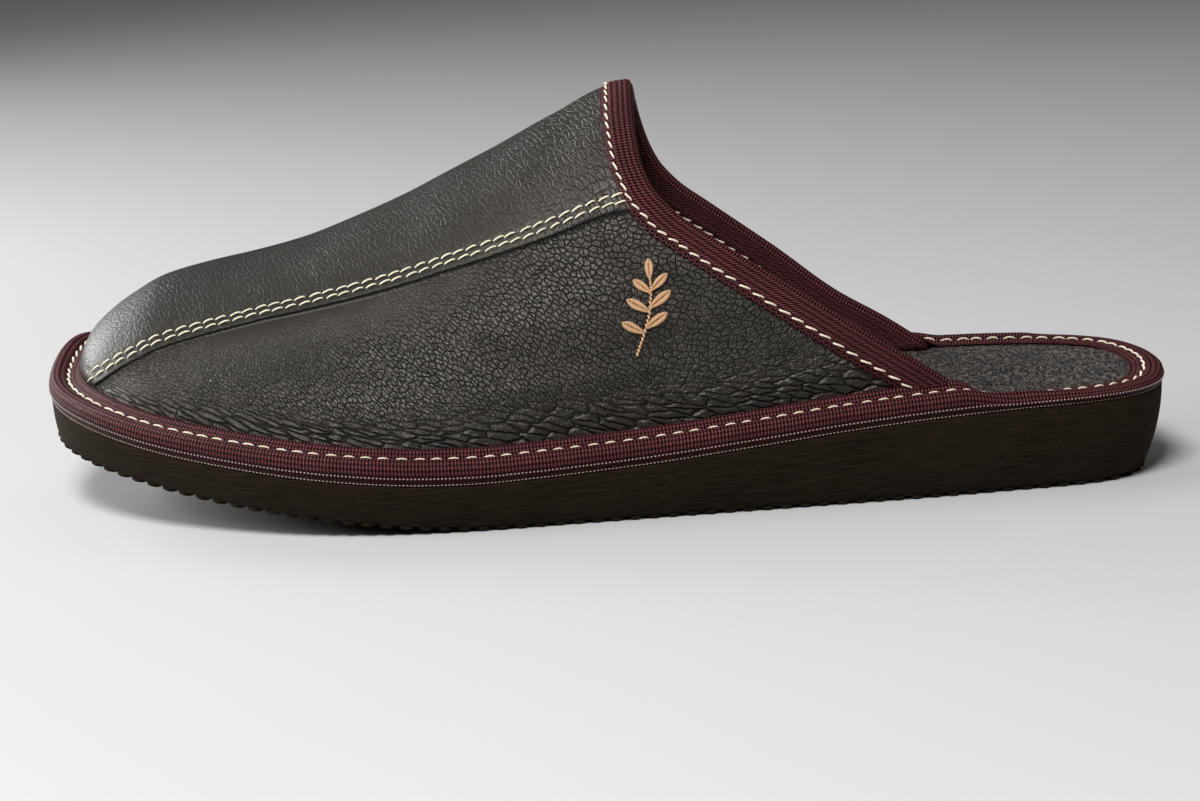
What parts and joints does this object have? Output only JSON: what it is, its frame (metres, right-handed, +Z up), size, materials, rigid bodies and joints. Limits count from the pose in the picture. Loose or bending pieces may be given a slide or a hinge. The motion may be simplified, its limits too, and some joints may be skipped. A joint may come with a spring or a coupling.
{
  "type": "slipper",
  "caption": "Backless leather house slipper for the left foot: lapped vamp bound at the collar, taped sole edge, flat insole and a foam wedge sole with toe spring.",
  "frame": {"origin": "centre of the bounding box in plan, on the floor under the flat of the sole", "axes": "+X along the foot to the toe, +Y to the outer side of the foot, +Z up"},
  "size_m": [0.2952, 0.1028, 0.1033],
  "materials": {
    "outsole": "matte ground foam",
    "insole": "wrinkled matte",
    "sole_binding": "woven tape",
    "upper": "pebbled semi-matte",
    "collar_binding": "woven tape"
  },
  "bodies": {
    "root": {"outsole": "outsole", "insole": "insole", "sole_binding": "sole_binding", "upper": "upper", "collar_binding": "collar_binding"}
  },
  "joints": []
}
